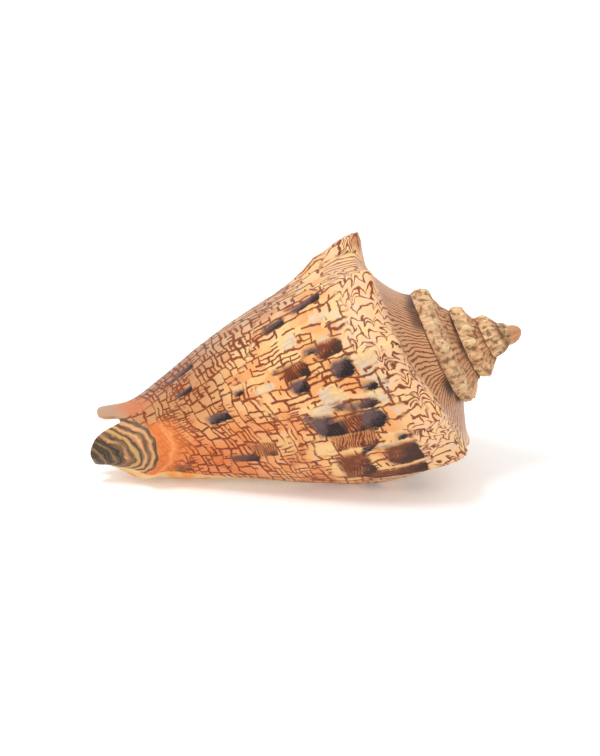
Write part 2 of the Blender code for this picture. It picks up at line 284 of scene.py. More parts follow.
def section_row(turns, stretch, share):
    """Along and out of one row, bare and with its relief, and its distance below the shoulder."""
    points = control_points(turns)
    gap = np.linalg.norm(np.diff(points, axis=1), axis=2)[:, :, None]
    slope = np.diff(points, axis=1) / gap
    blend = gap[:, 1:] / (gap[:, 1:] + gap[:, :-1])
    smooth = slope[:, :-1] * blend + slope[:, 1:] * (1 - blend)
    leave = np.concatenate([slope[:, :1], smooth], axis=1)
    arrive = np.concatenate([smooth, slope[:, -1:]], axis=1)
    open_whorl = np.clip((1 - turns) / JOIN_TURNS, 0, 1)[:, None]
    leave[:, 2] = leave[:, 2] * open_whorl + slope[:, 2] * (1 - open_whorl)
    arrive[:, 1] = arrive[:, 1] * open_whorl + slope[:, 1] * (1 - open_whorl)
    hollow = path(turns, RAMP_HOLLOW) * gap[:, 0] * HOLLOW_PULL
    ramp_in = np.stack([slope[:, 0, 1], -slope[:, 0, 0]], axis=1) * hollow
    leave[:, 0] += ramp_in / gap[:, 0]
    arrive[:, 0] -= ramp_in / gap[:, 0]
    k = stretch
    bare = hermite(
        points[:, k],
        points[:, k + 1],
        leave[:, k] * gap[:, k],
        arrive[:, k] * gap[:, k],
        share,
    )
    length = np.concatenate([np.zeros((len(turns), 1)), np.cumsum(gap[:, :, 0], axis=1)], axis=1)
    below = length[:, k] + share * gap[:, k, 0] - length[:, 1]
    down = below / points[:, 1, 1]
    if (k, share) == (0, 0.0):
        return bare, bare.copy(), below
    relief = knobs(turns, down)
    ridge_at, ridge_height = path(turns, FASCIOLE).T
    ridge = ridge_height * np.exp(-(((bare[:, 0] - ridge_at) / FASCIOLE_HALF_WIDTH) ** 2))
    ridge *= (turns < CLOSED_AT) & (k > 2)
    shown = bare.copy()
    if (k, share) == (1, 1.0) or (k, share) == (7, 1.0):
        relief = relief * open_whorl[:, 0]
        ridge = ridge * 0
    shown[:, 0] += relief * KNOB_HOOK * (down < HOOK_REACH)
    shown[:, 1] += relief + ridge
    if k > 2:
        inside = path(turns, FOLD_TURNS)[:, 0]
        for fold_at in FOLD_AT:
            off = bare[:, 0] - fold_at - FOLD_LEAN * (turns - 1)
            shown[:, 1] += inside * FOLD_HEIGHT * np.exp(-((off / FOLD_HALF_WIDTH) ** 2))
    return bare, shown, below

# %% [markdown]
# The sheet
# All the sections side by side make a flat sheet, whose points are (turns, along, out). The
# suture is where one turn of the sheet meets the turn before it, at the same places. The last
# turn gets an inner side too, and a rounded rim between the two sides.


# %% Collect the sheet's points and faces
class Sheet:
    """Points as (turns, along, out), each with its place on the pattern."""

    def __init__(self):
        self.points = []
        self.marks = []
        self.faces = []

    def add(self, point, mark):
        self.points.append(np.asarray(point, float))
        self.marks.append(mark)
        return len(self.points) - 1

    def add_grid(self, points, marks):
        first = len(self.points)
        self.points.extend(points.reshape(-1, 3))
        self.marks.extend(marks.reshape(-1, marks.shape[-1]))
        return first + np.arange(points.shape[0] * points.shape[1]).reshape(points.shape[:2])

    def face(self, *corners):
        ring = [int(c) for n, c in enumerate(corners) if c != corners[n - 1]]
        if len(set(ring)) > 2:
            self.faces.append(ring)


def unit(vector):
    return vector / np.linalg.norm(vector)


# %% Lay out the outside
n = COLUMNS_A_TURN
last = round(FIRST_WHORL_AT * n)
close = round(CLOSED_AT * n)
places = row_places()
seam = RAMP_STEPS + CREST_STEPS
front = len(places) - 1
turns = np.arange(last + 1) / n

bare = np.zeros((last + 1, front + 1, 2))
shown = np.zeros((last + 1, front + 1, 2))
below = np.zeros((last + 1, front + 1))
row_turns = np.zeros((last + 1, front + 1))
for j, (stretch, share) in enumerate(places):
    straight = section_row(turns, stretch, share)[0]
    setback = path(straight[:, 0], LIP_SETBACK)[:, 0]
    fade = np.clip(1 - turns / LIP_SETBACK_REACH, 0, 1) ** 2
    row_turns[:, j] = turns + setback * fade
    bare[:, j], shown[:, j], below[:, j] = section_row(row_turns[:, j], stretch, share)
row_turns[n:, seam] = row_turns[:-n, 0] + 1
shown[n:, seam] = shown[:-n, 0]

OUTSIDE = 0.0
INSIDE = 1.0
COVERED_FROM = 0.99  # turns back from the lip
POLE_DOWN, POLE_ALONG, POLE_FROM_SUTURE = 110.0, 130.0, 120.0
sheet = Sheet()
under_next_whorl = (row_turns > COVERED_FROM) & (np.arange(front + 1) > seam)
from_suture = below - below[:, :1]
hidden = np.where(under_next_whorl, INSIDE, OUTSIDE)
marks = np.stack([row_turns, below, bare[..., 0], hidden, from_suture], axis=-1)
outer = sheet.add_grid(np.dstack([row_turns, shown]), marks)
pole_mark = (CLOSED_AT, POLE_DOWN, POLE_ALONG, OUTSIDE, POLE_FROM_SUTURE)
pole = sheet.add((CLOSED_AT, FRONT_EDGE[-1][1], 0.0), pole_mark)
outer[close : close + n + 1, front] = pole
print("outside:", outer.shape[0], "sections of", outer.shape[1], "points")

# %% Lay out the inside of the last whorl
LIP_WALL_REACH = 0.06  # turns over which the wall thickens to the lip
tangent = np.gradient(bare[: close + 1], axis=1)
tangent /= np.linalg.norm(tangent, axis=2)[..., None]
inward = np.stack([tangent[..., 1], -tangent[..., 0]], axis=-1)
near_lip = np.clip(1 - turns[: close + 1] / LIP_WALL_REACH, 0, 1)[:, None]
front_rows = FLANK_STEPS[-1] + FLANK_STEPS[-2]
near_front = np.clip((np.arange(front + 1) - front + front_rows) / front_rows, 0, 1)[None, :]
thick = WALL + (LIP_WALL - WALL) * near_lip
thick = thick + (FRONT_WALL - thick) * near_front
inner_shape = bare[: close + 1] + inward * thick[..., None]
for i in range(close + 1):
    core = shown[i + n, seam + JOIN_STEPS :]
    core_out = np.interp(inner_shape[i, :, 0], core[:, 0], core[:, 1])
    gap = np.maximum(bare[i, :, 1] - core_out, 0)
    inner_shape[i, :, 1] = np.maximum(inner_shape[i, :, 1], core_out + LEAST_CANAL * gap)
inner_turns = row_turns[: close + 1]
marks = marks[: close + 1].copy()
marks[..., 3] = INSIDE
inner = sheet.add_grid(np.dstack([inner_turns, inner_shape]), marks)
inner[:, 0] = outer[n : n + close + 1, seam + JOIN_STEPS]
inner[close, front] = pole

# %% Faces of the two sides and of the deep end
for i in range(last):
    for j in range(seam):
        sheet.face(outer[i, j], outer[i, j + 1], outer[i + 1, j + 1], outer[i + 1, j])
for i in range(close + n):
    start = seam + JOIN_STEPS if i >= n else seam
    for j in range(start, front):
        sheet.face(outer[i, j], outer[i, j + 1], outer[i + 1, j + 1], outer[i + 1, j])
for i in range(close):
    for j in range(front):
        sheet.face(inner[i, j], inner[i + 1, j], inner[i + 1, j + 1], inner[i, j + 1])

points = np.array(sheet.points)
wall_side = list(inner[close])
core_side = list(outer[close + n, seam + JOIN_STEPS :])
a = b = 0
while a < len(wall_side) - 1 or b < len(core_side) - 1:
    wall_next = points[wall_side[min(a + 1, len(wall_side) - 1)], 1]
    core_next = points[core_side[min(b + 1, len(core_side) - 1)], 1]
    if b == len(core_side) - 1 or (a < len(wall_side) - 1 and wall_next <= core_next):
        sheet.face(wall_side[a], wall_side[a + 1], core_side[b])
        a += 1
    else:
        sheet.face(wall_side[a], core_side[b + 1], core_side[b])
        b += 1

# %% [markdown]
# The rim and the first whorl
# The lip of a grown shell is rounded, so half a circle of faces joins the two sides of the wall.
# At the other end the shell began as a smooth dome, which closes the sheet over the last turn.

# %% The rounded rim, down the lip and round the front edge
edge = [(0, j) for j in range(1, front + 1)] + [(i, front) for i in range(1, close)]
rings = []
for i, j in edge:
    outer_point = points[outer[i, j]]
    inner_point = points[inner[i, j]]
    radius = max(outer_point[2], 1.0)
    to_mm = np.array([2 * math.pi * radius, 1.0, 1.0])
    middle = (outer_point + inner_point) / 2
    half = np.linalg.norm((outer_point - inner_point) * to_mm) / 2
    way = np.zeros(3)
    if i == 0:
        way += unit((points[outer[0, j]] - points[outer[1, j]]) * to_mm)
    if j == front:
        way += unit((points[outer[i, front]] - points[outer[i, front - 1]]) * to_mm)
    way = unit(way)
    ring = [outer[i, j]]
    for step in range(1, RIM_STEPS):
        turn = math.pi * step / RIM_STEPS
        offset = (outer_point - middle) * math.cos(turn) + way * half * math.sin(turn) / to_mm
        mark = sheet.marks[outer[i, j]].copy()
        mark[3] = OUTSIDE + (INSIDE - OUTSIDE) * step / RIM_STEPS
        ring.append(sheet.add(middle + offset, mark))
    ring.append(inner[i, j])
    rings.append(ring)
for before, after in zip(rings, rings[1:]):
    for k in range(RIM_STEPS):
        sheet.face(before[k], before[k + 1], after[k + 1], after[k])
join = [outer[n, seam + JOIN_STEPS - k] for k in range(JOIN_STEPS)]
sheet.face(*rings[0], *join, outer[0, 0])
sheet.face(*rings[-1], pole)

# %% The domed first whorl
DOME_FROM_SUTURE = 3.0
loop = [(outer[i, 0], shown[i, 0], turns[i]) for i in range(last - n, last + 1)]
loop += [(outer[last, j], shown[last, j], turns[last]) for j in range(1, seam)]
ring = [corner for corner, shape, at in loop]
for step in range(1, DOME_STEPS + 1):
    rise = math.pi / 2 * step / DOME_STEPS
    if step == DOME_STEPS:
        apex_mark = (FIRST_WHORL_AT, 0.0, 0.0, OUTSIDE, DOME_FROM_SUTURE)
        apex = sheet.add((FIRST_WHORL_AT, APEX_AT, 0.0), apex_mark)
        upper = [apex] * len(loop)
    else:
        upper = [
            sheet.add(
                (at, shape[0] - (shape[0] - APEX_AT) * math.sin(rise), shape[1] * math.cos(rise)),
                (FIRST_WHORL_AT, 0.0, shape[0] * (1 - math.sin(rise)), OUTSIDE, DOME_FROM_SUTURE),
            )
            for corner, shape, at in loop
        ]
    for k in range(len(loop)):
        after = (k + 1) % len(loop)
        sheet.face(ring[k], ring[after], upper[after], upper[k])
    ring = upper
print("sheet:", len(sheet.points), "points,", len(sheet.faces), "faces")

# %% [markdown]
# Where a point lies on the pattern
# The pattern is painted in millimetres on the unrolled shell: "across" runs round the coil and
# "down" runs from the shoulder toward the front end. Both are kept on the mesh as attributes,
# so that the colours follow the growth of the shell and not the room around it.

# %% Measure the pattern's coordinates
marks = np.array(sheet.marks, float)
points = np.array(sheet.points)
mark_turns, mark_down, mark_along, mark_inside, mark_from_suture = marks.T
BEFORE_LIP = -0.3
FINE_STEPS = 1200
fine_turns = np.linspace(BEFORE_LIP, FIRST_WHORL_AT, FINE_STEPS)
shoulder_out = path(fine_turns, SHOULDER)[:, 1]
lengths = np.cumsum(2 * math.pi * shoulder_out) * (fine_turns[1] - fine_turns[0])
lengths -= np.interp(0.0, fine_turns, lengths)
across = np.interp(mark_turns, fine_turns, lengths)
attributes = {
    "turns": mark_turns,
    "across": across,
    "down": mark_down,
    "along": mark_along,
    "inside": mark_inside,
    "from_suture": mark_from_suture,
}
print("pattern spans", round(across.max()), "mm across and", round(mark_down.max()), "mm down")

# %% [markdown]
# Dark and pale blocks
# Some cells of the net are filled with dark or pale pigment. They stand in rows round the
# whorl, so each is a rectangle on the unrolled shell: where it is, how big it is, and how
# black. Where the photo shows them they are listed one by one; the rest are drawn from a fixed seed.

# %% Place the blocks
# Each row: across from and to, down from and to, blackness.
DARK_BLOCKS = [
    (94.2, 96.4, 14.5, 24.0, 0.66),
    (95.6, 98.2, 27.2, 33.6, 0.62),
    (110.5, 115.0, 13.4, 21.3, 0.45),
    (110.8, 112.4, 22.0, 24.3, 1.0),
    (113.4, 117.8, 25.1, 32.6, 0.45),
    (117.1, 121.6, 12.7, 18.8, 1.0),
    (118.7, 122.3, 27.5, 32.3, 0.8),
    (125.0, 127.0, 10.0, 13.6, 1.0),
    (128.4, 130.4, 21.3, 24.9, 0.7),
    (129.4, 131.4, 12.6, 21.0, 0.62),
    (130.2, 132.0, 33.0, 35.4, 1.0),
    (131.2, 137.4, 27.3, 33.9, 0.9),
    (132.3, 137.2, 13.4, 20.4, 0.8),
    (132.8, 138.0, 20.4, 27.3, 0.35),
    (138.0, 142.6, 19.0, 31.0, 0.12),
    (141.2, 142.8, 11.0, 13.4, 1.0),
    (142.6, 144.6, 21.0, 24.2, 0.7),
    (144.8, 152.8, 9.9, 19.0, 0.54),
    (145.3, 156.8, 24.2, 33.2, 0.44),
    (154.8, 159.4, 10.6, 27.0, 0.5),
    (88.8, 91.6, 57.5, 66.0, 0.66),
    (102.0, 104.5, 61.0, 66.4, 0.8),
    (120.6, 124.2, 54.0, 61.0, 0.9),
    (137.0, 142.4, 49.0, 56.0, 0.2),
    (141.4, 144.8, 55.9, 63.6, 0.6),
    (144.6, 149.6, 77.4, 82.6, 0.3),
    (114.9, 116.2, 46.7, 48.9, 0.8),
    (112.8, 114.4, 33.7, 35.7, 0.6),
]
PALE_BLOCKS = [
    (117.2, 121.0, 6.6, 12.2),
    (123.3, 127.9, 19.2, 26.7),
    (127.7, 131.0, 25.6, 32.5),
    (127.2, 131.6, 9.6, 12.2),
    (108.2, 110.3, 15.0, 20.0),
    (103.0, 108.0, 25.0, 31.0),
    (143.0, 145.2, 13.6, 21.0),
    (148.6, 155.0, 33.6, 36.6),
    (140.0, 144.6, 32.0, 38.0),
    (116.0, 119.0, 36.0, 43.0),
]
SEEN_FROM, SEEN_TO = 66.0, 164.0
FIRST_ACROSS, LAST_ACROSS = 6.0, 205.0
# Each row: down from and to, greatest blackness.
BANDS = ((12.0, 20.0, 1.0), (27.0, 35.5, 0.8), (56.0, 64.0, 0.9))
BLOCK_SEED = 11
chance = random.Random(BLOCK_SEED)
for band_down, band_to, blackest in BANDS:
    place_across = FIRST_ACROSS
    while place_across < LAST_ACROSS:
        wide = chance.uniform(2.2, 5.4)
        if place_across + wide < SEEN_FROM or place_across > SEEN_TO:
            starts = band_down + chance.uniform(-1.5, 2.5)
            ends = starts + chance.uniform(0.5, 1.0) * (band_to - band_down)
            black = blackest * chance.uniform(0.4, 1.0)
            DARK_BLOCKS.append((place_across, place_across + wide, starts, ends, black))
            PALE_BLOCKS.append((place_across + wide, place_across + wide * 2, starts, ends))
        place_across += wide + chance.uniform(3.0, 12.0)

# %% Measure how deep each point lies in a block
FAR = -9.0
LAST_WHORL_TO = 1.02  # turns back from the lip


def depth_in(start, end, top, bottom):
    """Distance in mm to the nearest side of this block, below 0 outside it."""
    inside_across = (end - start) / 2 - np.abs(across - (start + end) / 2)
    inside_down = (bottom - top) / 2 - np.abs(mark_down - (top + bottom) / 2)
    return np.where(mark_turns < LAST_WHORL_TO, np.minimum(inside_across, inside_down), FAR)


dark = np.full(len(across), FAR)
dark_share = np.zeros(len(across))
blackness = np.zeros(len(across))
for start, end, top, bottom, black in DARK_BLOCKS:
    depth = depth_in(start, end, top, bottom)
    nearer = depth > dark
    dark = np.where(nearer, depth, dark)
    blackness = np.where(nearer, black, blackness)
    downhill = np.clip((across - start) / (end - start), 0, 1)
    toward_shoulder = np.clip((bottom - mark_down) / (bottom - top), 0, 1)
    dark_share = np.where(nearer, (downhill + toward_shoulder) / 2, dark_share)
pale = np.full(len(across), FAR)
for block in PALE_BLOCKS:
    pale = np.maximum(pale, depth_in(*block))
attributes.update(dark=dark, dark_share=dark_share, blackness=blackness, pale=pale)
print(len(DARK_BLOCKS), "dark blocks and", len(PALE_BLOCKS), "pale ones")

# %% [markdown]
# The fasciole's stripes
# Each time the snail moved its siphon on, the old notch left a C-shaped stripe. The stripes
# nest inside one another, so one table for the outermost stripe is enough: a stripe is
# everything at the same distance in front of it.

# %% Measure the stripes
STRIPE_EDGE = (
    (0.45, 117.5),
    (0.52, 113.0),
    (0.56, 110.2),
    (0.59, 108.9),
    (0.63, 108.4),
    (0.67, 110.4),
    (0.71, 115.6),
    (0.76, 122.0),
    (0.85, 130.0),
)
attributes["notch"] = mark_along - path(mark_turns, STRIPE_EDGE)[:, 0]
fold = np.zeros(len(across))
for fold_at in FOLD_AT:
    off = mark_along - fold_at - FOLD_LEAN * (mark_turns - 1)
    fold += np.exp(-((off / FOLD_HALF_WIDTH) ** 2))
attributes["fold"] = fold * path(mark_turns, FOLD_TURNS)[:, 0]
print("attributes:", ", ".join(attributes))

# %% [markdown]
# Winding the sheet
# A shell winds its growing section round one axis, which is a rule, so a node tree does it:
# each point's turns become an angle, and its distance out becomes a radius. The tree also lifts
# the spire, and adds the fine growth lines that run from the suture to the front end, and the
# wear and the small knobs of the spire.


# %% A helper for writing node trees as sums
class Value:
    """A number or vector in a node tree."""

    def __init__(self, tree, socket):
        self.tree = tree
        self.socket = socket

    def math(self, operation, *others):
        return node(self.tree, "ShaderNodeMath", self, *others, operation=operation)

    def __add__(self, other):
        return self.math("ADD", other)

    def __sub__(self, other):
        return self.math("SUBTRACT", other)

    def __mul__(self, other):
        return self.math("MULTIPLY", other)

    def __truediv__(self, other):
        return self.math("DIVIDE", other)

    def __neg__(self):
        return self.math("MULTIPLY", -1.0)

    def __abs__(self):
        return self.math("ABSOLUTE")

    def floor(self):
        return self.math("FLOOR")

    def fract(self):
        return self.math("FRACT")


def node(tree, kind, *inputs, output=0, **settings):
    """Adds a node, joins its inputs in order (None skips one), and gives back one output."""
    new = tree.nodes.new(kind)
    for name, setting in settings.items():
        setattr(new, name, setting)
    sockets = [socket for socket in new.inputs if socket.enabled]
    for socket, given in zip(sockets, inputs):
        if isinstance(given, Value):
            tree.links.new(given.socket, socket)
        elif given is not None:
            socket.default_value = given
    outputs = [socket for socket in new.outputs if socket.enabled]
    return Value(tree, outputs[output] if isinstance(output, int) else new.outputs[output])


# %% The tree that winds the shell
BEADS_A_TURN = 14.0
BEAD_DOWN = 0.5  # mm below the shoulder
BEAD_REACH = 4.0
WEAR_FADES_IN = (1.0, 1.1)  # turns back from the lip
WEAR_FADES_OUT = (3.2, 3.9)
AXIS_RADIUS = 2.0 * MM  # relief stops this near the axis


def winding_tree(inputs):
    """A node group that takes the flat sheet. Inputs are (name, kind, value)."""
    tree = bpy.data.node_groups.new("wind_shell", "GeometryNodeTree")
    tree.is_modifier = True
    tree.interface.new_socket("Geometry", in_out="INPUT", socket_type="NodeSocketGeometry")
    for name, kind, value in inputs:
        socket = tree.interface.new_socket(name, in_out="INPUT", socket_type=kind)
        if kind != "NodeSocketMaterial":
            socket.default_value = value
    tree.interface.new_socket("Geometry", in_out="OUTPUT", socket_type="NodeSocketGeometry")
    entry = tree.nodes.new("NodeGroupInput")
    given = {socket.name: Value(tree, socket) for socket in entry.outputs}

    position = node(tree, "GeometryNodeInputPosition")
    flat = tree.nodes.new("ShaderNodeSeparateXYZ")
    tree.links.new(position.socket, flat.inputs[0])
    turns_back, along, out = (Value(tree, socket) for socket in flat.outputs)

    line_place = node(
        tree,
        "ShaderNodeCombineXYZ",
        turns_back * given["Growth Lines a Turn"],
        along * given["Waves a Metre"],
        given["Seed"] * 1.0,
    )
    wear_place = node(
        tree,
        "ShaderNodeCombineXYZ",
        turns_back * given["Wear Patches a Turn"],
        along * given["Wear Patches a Metre"],
        out * given["Wear Patches a Metre"],
    )
    lines = node(tree, "ShaderNodeTexNoise", line_place, 1.0, 3.0, 0.6, noise_dimensions="3D")
    bare_share = node(tree, "GeometryNodeInputNamedAttribute", "inside", data_type="FLOAT")
    relief = (lines - 0.5) * given["Growth Line Height"]
    worn = node(tree, "ShaderNodeTexNoise", wear_place, 1.0, 3.0, 0.6, noise_dimensions="3D")
    on_spire = node(tree, "ShaderNodeMapRange", turns_back, *WEAR_FADES_IN, 0.0, 1.0)
    on_spire = on_spire * node(tree, "ShaderNodeMapRange", turns_back, *WEAR_FADES_OUT, 1.0, 0.0)
    relief = relief + (worn - 0.5) * given["Spire Wear"] * on_spire
    down = node(tree, "GeometryNodeInputNamedAttribute", "down", data_type="FLOAT")
    beads = (turns_back * given["Beads a Turn"] * (2 * math.pi)).math("COSINE").math("MAXIMUM", 0.0)
    at_shoulder = node(tree, "ShaderNodeMapRange", abs(down - BEAD_DOWN), BEAD_REACH, 0.0, 0.0, 1.0)
    relief = relief + beads * at_shoulder * given["Bead Height"] * on_spire
    relief = relief * (bare_share * -1.0 + 1.0) * out.math("GREATER_THAN", AXIS_RADIUS)
    radius = out + relief

    angle = turns_back * (2 * math.pi) + given["Lip Turned"]
    wound = node(
        tree,
        "ShaderNodeCombineXYZ",
        -along,
        -(radius * angle.math("SINE")),
        radius * angle.math("COSINE"),
    )
    raised = node(
        tree,
        "ShaderNodeVectorRotate",
        wound,
        None,
        -given["Spire Raised"],
        rotation_type="Y_AXIS",
    )
    moved = node(tree, "GeometryNodeSetPosition", given["Geometry"], None, raised)
    smooth = node(tree, "GeometryNodeSetShadeSmooth", moved)
    real = node(tree, "GeometryNodeRealizeInstances", smooth)
    painted = node(tree, "GeometryNodeSetMaterial", real, None, given["Material"])
    leave = tree.nodes.new("NodeGroupOutput")
    tree.links.new(painted.socket, leave.inputs[0])
    return tree


winding_inputs = (
    ("Lip Turned", "NodeSocketFloat", math.radians(LIP_TURNED_DEG)),
    ("Spire Raised", "NodeSocketFloat", math.radians(SPIRE_RAISED_DEG)),
    ("Growth Line Height", "NodeSocketFloat", 0.16 * MM),
    ("Growth Lines a Turn", "NodeSocketFloat", 110.0),
    ("Waves a Metre", "NodeSocketFloat", 60.0),
    ("Spire Wear", "NodeSocketFloat", 3.2 * MM),
    ("Wear Patches a Turn", "NodeSocketFloat", 28.0),
    ("Wear Patches a Metre", "NodeSocketFloat", 480.0),
    ("Beads a Turn", "NodeSocketFloat", BEADS_A_TURN),
    ("Bead Height", "NodeSocketFloat", 1.6 * MM),
    ("Seed", "NodeSocketInt", 4),
    ("Material", "NodeSocketMaterial", None),
)
wind_shell = winding_tree(winding_inputs)
print("winding tree:", len(wind_shell.nodes), "nodes")

# %% [markdown]
# The shell's colours
# The pigment lies under a glossy glaze, so one Principled material does for the shell. Its
# colour is worked out from the pattern coordinates: a net of lines first, then dark blocks,
# then washes of orange and grey, then the fasciole and the glaze of the inside.


# %% Helpers for the material
def from_screen(red, green, blue):
    """A colour as read off a screen, 0 to 255, turned into the light it stands for."""
    linear = [((c / 255 + 0.055) / 1.055) ** 2.4 if c > 10 else c / 3295 for c in (red, green, blue)]
    return (*linear, 1.0)


shell_material = bpy.data.materials.new("shell_glaze")
shell_material.use_nodes = True
tree = shell_material.node_tree


def from_mesh(name):
    return node(tree, "ShaderNodeAttribute", output="Fac", attribute_name=name)


def point(x, y, z):
    return node(tree, "ShaderNodeCombineXYZ", x, y, z)


def noise(place, scale, detail=2.0, roughness=0.5):
    return node(tree, "ShaderNodeTexNoise", place, scale, detail, roughness, noise_dimensions="3D")


def chance_of(x, y, seed):
    """A random number that stays the same for whole numbers x and y."""
    return node(tree, "ShaderNodeTexWhiteNoise", point(x, y, seed), noise_dimensions="3D")


def ramp(value, start, end):
    """0 before start, 1 after end, and smooth between them."""
    return node(tree, "ShaderNodeMapRange", value, start, end, 0.0, 1.0, interpolation_type="SMOOTHSTEP")


def larger(one, other):
    return one.math("MAXIMUM", other)


def blend(share, one, other):
    return node(tree, "ShaderNodeMix", share, one, other, data_type="RGBA")


# %% The pattern's coordinates, made wavy
# From here on every length is in mm on the unrolled shell, and every noise lies between 0 and 1.
OBJECT_TO_MM = 1000.0
place = Value(tree, tree.nodes.new("ShaderNodeTexCoord").outputs["Object"])
turns_back = from_mesh("turns")
across_at = from_mesh("across")
down_at = from_mesh("down")
along_at = from_mesh("along")


def wavy(size, reach):
    """Two shifts in mm, from noise whose waves are this size in mm."""
    colour = node(tree, "ShaderNodeTexNoise", place, OBJECT_TO_MM / size, 1.0, output="Color")
    parts = tree.nodes.new("ShaderNodeSeparateColor")
    tree.links.new(colour.socket, parts.inputs[0])
    return [(Value(tree, parts.outputs[k]) - 0.5) * reach for k in range(2)]


slow_across, slow_down = wavy(14.0, 5.0)
quick_across, quick_down = wavy(4.0, 2.2)
fine_across, fine_down = wavy(1.3, 0.7)
wavy_across = across_at + slow_across + quick_across + fine_across
wavy_down = down_at + slow_down + quick_down + fine_down
wide_patches = noise(place, OBJECT_TO_MM / 16.0, 1.0)
middle_patches = noise(place, OBJECT_TO_MM / 7.5, 1.5)
small_patches = noise(place, OBJECT_TO_MM / 3.5, 2.0)
rough_patches = noise(place, OBJECT_TO_MM / 1.6, 2.0)
grain = noise(place, OBJECT_TO_MM / 0.6, 2.0)

# %% [markdown]
# The net of lines
# On the flank the red-brown lines look like broken brickwork. A brick is found by rounding the
# coordinates down, and a random number for each brick says whether its sides are drawn, and
# whether a line also splits it.

# %% Broken brickwork
LINE_HALF = 0.33
LINE_SOFT = 0.2
swelling = ramp(across_at, 108.0, 92.0) * ramp(down_at, 12.0, 26.0) * 0.2 + 1.0


def line(distance, thickness=1.0):
    """1 on a line, 0 away from it, for a distance in mm."""
    uneven = distance - (small_patches - 0.5) * 0.5
    half = swelling * thickness * LINE_HALF
    return ramp(uneven, half * (1 + LINE_SOFT / LINE_HALF), half * 0.4)


def near_whole(value, pitch):
    """Distance in mm to the nearest whole number of pitches."""
    return abs(value.fract() - 0.5) * -pitch + pitch / 2


def brickwork(rows, along_row, row_pitch, brick, seed, drawn, thickness=1.0):
    """Lines between and across rows of bricks, and a random tone for each brick.

    drawn holds the shares that are there: the rows' sides, the bricks' ends, splits and crosses.
    """

    def kept(x, y, kind):
        return chance_of(x, y, seed + kind + 1.0).math("LESS_THAN", drawn[kind])

    in_rows = rows / row_pitch
    row = in_rows.floor()
    in_bricks = along_row / brick + chance_of(row, 0.5, seed) * 5.0
    end = (in_bricks + 0.5).floor()
    inner = in_bricks.floor()
    side = (in_rows + 0.5).floor()
    side_part = (along_row / (brick * 0.8) + chance_of(side, 1.5, seed) * 9.0).floor()
    sides = line(near_whole(in_rows, row_pitch), thickness) * kept(side, side_part, 0)
    ends = line(near_whole(in_bricks, brick), thickness) * kept(row, end, 1)
    split = line(abs(in_rows.fract() - 0.5) * row_pitch, thickness) * kept(row, inner, 2)
    cross = line(abs(in_bricks.fract() - 0.5) * brick, thickness) * kept(row, inner, 3)
    one_half = in_rows.fract().math("LESS_THAN", 0.5)
    cross = cross * abs(one_half - chance_of(row, inner, seed + 5.0).math("LESS_THAN", 0.5))
    return larger(larger(sides, ends), larger(split, cross)), chance_of(row, inner, seed + 6.0)


flank_net, flank_tone = brickwork(wavy_across, wavy_down, 3.4, 5.6, 20.0, (0.74, 0.64, 0.36, 0.38))
FRONT_ROW = 3.0
NARROWS_BY = 0.0255  # for each row, because the whorl gets thinner toward the front end
front_row = (wavy_down / FRONT_ROW).floor()
front_narrow = (front_row * -NARROWS_BY + 1.08).math("MAXIMUM", 0.3)
front_across = wavy_across * front_narrow
front_drawn = (0.88, 0.84, 0.25, 0.3)
front_net, front_tone = brickwork(wavy_down, front_across, FRONT_ROW, 3.2, 40.0, front_drawn, 0.86)
to_front = ramp(down_at + (wide_patches - 0.5) * 50.0, 40.0, 44.0)
net = flank_net + (front_net - flank_net) * to_front
cell_tone = flank_tone + (front_tone - flank_tone) * to_front
small_net, _ = brickwork(wavy_across, wavy_down, 1.65, 2.5, 90.0, (0.75, 0.6, 0.1, 0.1), 0.75)
crowding = noise(place, OBJECT_TO_MM / 8.0, 1.0) + ramp(down_at, 48.0, 72.0) * 0.06
crowded = ramp(crowding, 0.56, 0.61) * ramp(small_patches, 0.3, 0.5)
net = larger(net, small_net * crowded)
print("nodes up to the net:", len(tree.nodes))

# %% [markdown]
# Lines of the shoulder and the ramp
# Near the shoulder the same lines hang in scallops, and on the ramp they close up into fine wavy
# lines. Both are lines of equal "across", the first with the arches of a sine wave added. In
# the valley under the tall spine the sheet is squeezed, so plain wavy stripes stand there.

# %% Scallops, stripes and fine lines
SCALLOP_WIDE = 3.8
SCALLOP_DEEP = 2.2
scallop_place = wavy_down / SCALLOP_WIDE + noise(place, OBJECT_TO_MM / 9.0, 1.0) * 3.0
scallop = abs((scallop_place * math.pi).math("SINE")) * SCALLOP_DEEP
scalloped = wavy_across + scallop
shoulder_lines, _ = brickwork(scalloped, wavy_down, 2.7, SCALLOP_WIDE, 60.0, (0.95, 0.4, 0.12, 0.1), 0.95)
tight_across = wavy_across + scallop * 0.6
tight_net, _ = brickwork(tight_across, wavy_down, 2.1, 2.7, 70.0, (0.9, 0.6, 0.15, 0.1), 0.9)
in_tight = ramp(noise(place, OBJECT_TO_MM / 7.0, 1.0), 0.52, 0.57) * ramp(down_at, 1.0, 5.0)
in_tight = in_tight * ramp(across_at, 108.0, 122.0)
shoulder_lines = shoulder_lines + (tight_net - shoulder_lines) * in_tight
ramp_wave = quick_across * 1.1 + fine_across * 1.2 + (wide_patches - 0.5) * 8.0
RAMP_SPACING = 1.75
ramp_lines = line(near_whole((across_at + ramp_wave) / RAMP_SPACING, RAMP_SPACING), middle_patches + 0.5)
ramp_strength = ramp(across_at + (middle_patches - 0.5) * 20.0, 76.0, 110.0) * 0.4 + 0.55
ramp_lines = ramp_lines * ramp_strength
VALLEY_AT = 81.0
VALLEY_SPACING = 1.6
in_valley = ramp(abs(across_at - VALLEY_AT), 4.6, 3.0) * ramp(down_at, 12.0, 8.0)
in_spacing = (across_at + quick_across) / VALLEY_SPACING
valley_lines = line(near_whole(in_spacing, VALLEY_SPACING), middle_patches + 0.4)
shoulder_lines = shoulder_lines + (valley_lines * 0.8 - shoulder_lines) * in_valley
